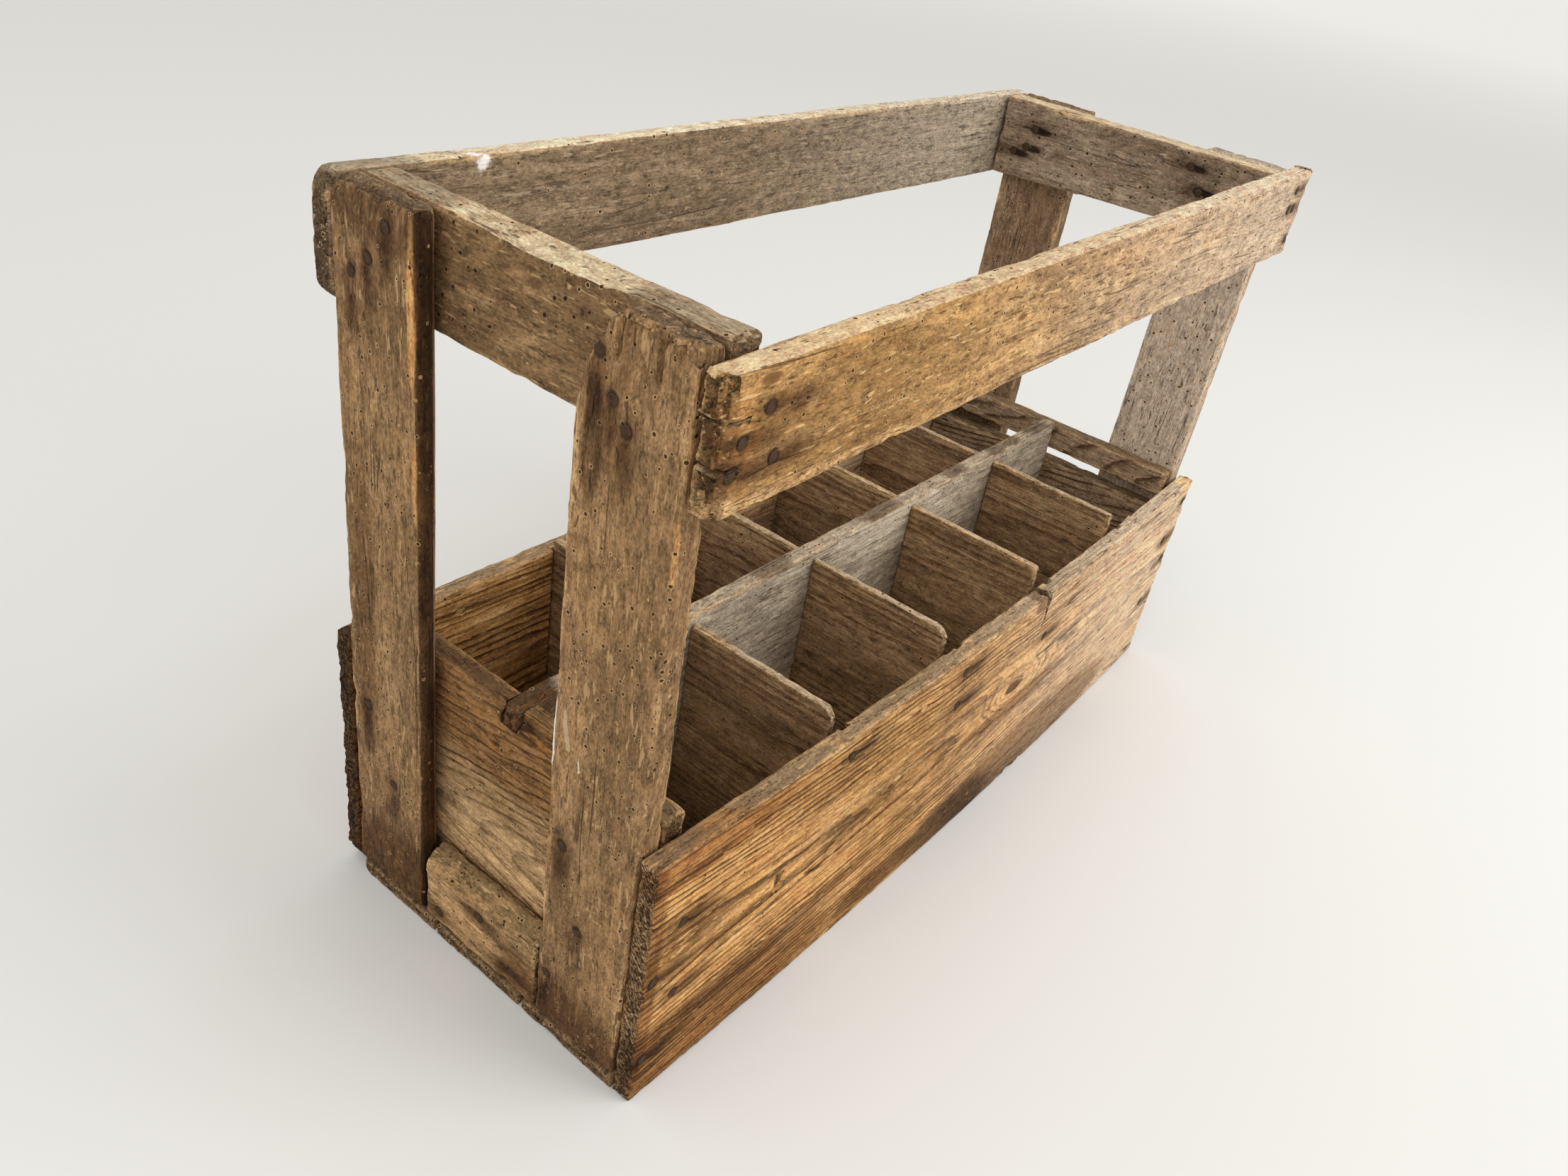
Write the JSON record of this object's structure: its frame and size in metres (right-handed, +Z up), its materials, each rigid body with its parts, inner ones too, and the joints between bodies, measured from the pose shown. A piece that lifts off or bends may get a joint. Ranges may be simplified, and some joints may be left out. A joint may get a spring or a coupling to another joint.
{
  "type": "wooden bottle crate",
  "caption": "Open wooden bottle crate on four flat posts, with a low divided box and a ring of top rails for carrying and stacking.",
  "frame": {"origin": "centre of the flat underside of the middle floor plank, on the ground", "axes": "+X along the crate's length towards the end with the open slot, +Y across it towards the straight back side board, +Z up"},
  "size_m": [0.641, 0.2551, 0.428],
  "materials": {
    "post_wood": "weathered brown hardwood with wormholes",
    "rail_wood": "weathered hardwood, grey at the edges",
    "pine_wood": "worn golden pine with raised grain",
    "end_wood": "worn brown pine",
    "floor_wood": "dusty rough wood",
    "divider_wood": "thin grey-brown wood",
    "iron": "dark rusted wire nails"
  },
  "bodies": {
    "root": {"back_side_board": "pine_wood", "back_top_rail": "rail_wood", "centre_divider": "divider_wood", "cross_divider_1": "divider_wood", "cross_divider_2": "divider_wood", "cross_divider_3": "divider_wood", "cross_divider_4": "divider_wood", "divider_nail_1": "iron", "divider_nail_2": "iron", "divider_nail_3": "iron", "divider_nail_4": "iron", "far_back_board_nail_1": "iron", "far_back_board_nail_2": "iron", "far_back_low_nail": "iron", "far_back_post": "post_wood", "far_back_post_nail_1": "iron", "far_back_post_nail_2": "iron", "far_back_rail_nail_1": "iron", "far_back_rail_nail_2": "iron", "far_batten": "post_wood", "far_batten_nail_1": "iron", "far_batten_nail_2": "iron", "far_end_board": "end_wood", "far_end_slat": "end_wood", "far_front_board_nail_1": "iron", "far_front_board_nail_2": "iron", "far_front_low_nail": "iron", "far_front_post": "post_wood", "far_front_post_nail_1": "iron", "far_front_post_nail_2": "iron", "far_front_rail_nail_1": "iron", "far_front_rail_nail_2": "iron", "far_top_rail": "rail_wood", "floor_plank_back": "floor_wood", "floor_plank_front": "floor_wood", "floor_plank_middle": "floor_wood", "front_side_board": "pine_wood", "front_top_rail": "rail_wood", "near_back_board_nail_1": "iron", "near_back_board_nail_2": "iron", "near_back_low_nail": "iron", "near_back_post": "post_wood", "near_back_post_nail_1": "iron", "near_back_post_nail_2": "iron", "near_back_rail_nail_1": "iron", "near_back_rail_nail_2": "iron", "near_batten": "post_wood", "near_batten_nail_1": "iron", "near_batten_nail_2": "iron", "near_end_board": "end_wood", "near_front_board_nail_1": "iron", "near_front_board_nail_2": "iron", "near_front_low_nail": "iron", "near_front_post": "post_wood", "near_front_post_nail_1": "iron", "near_front_post_nail_2": "iron", "near_front_rail_nail_1": "iron", "near_front_rail_nail_2": "iron", "near_top_rail": "rail_wood"}
  },
  "joints": []
}
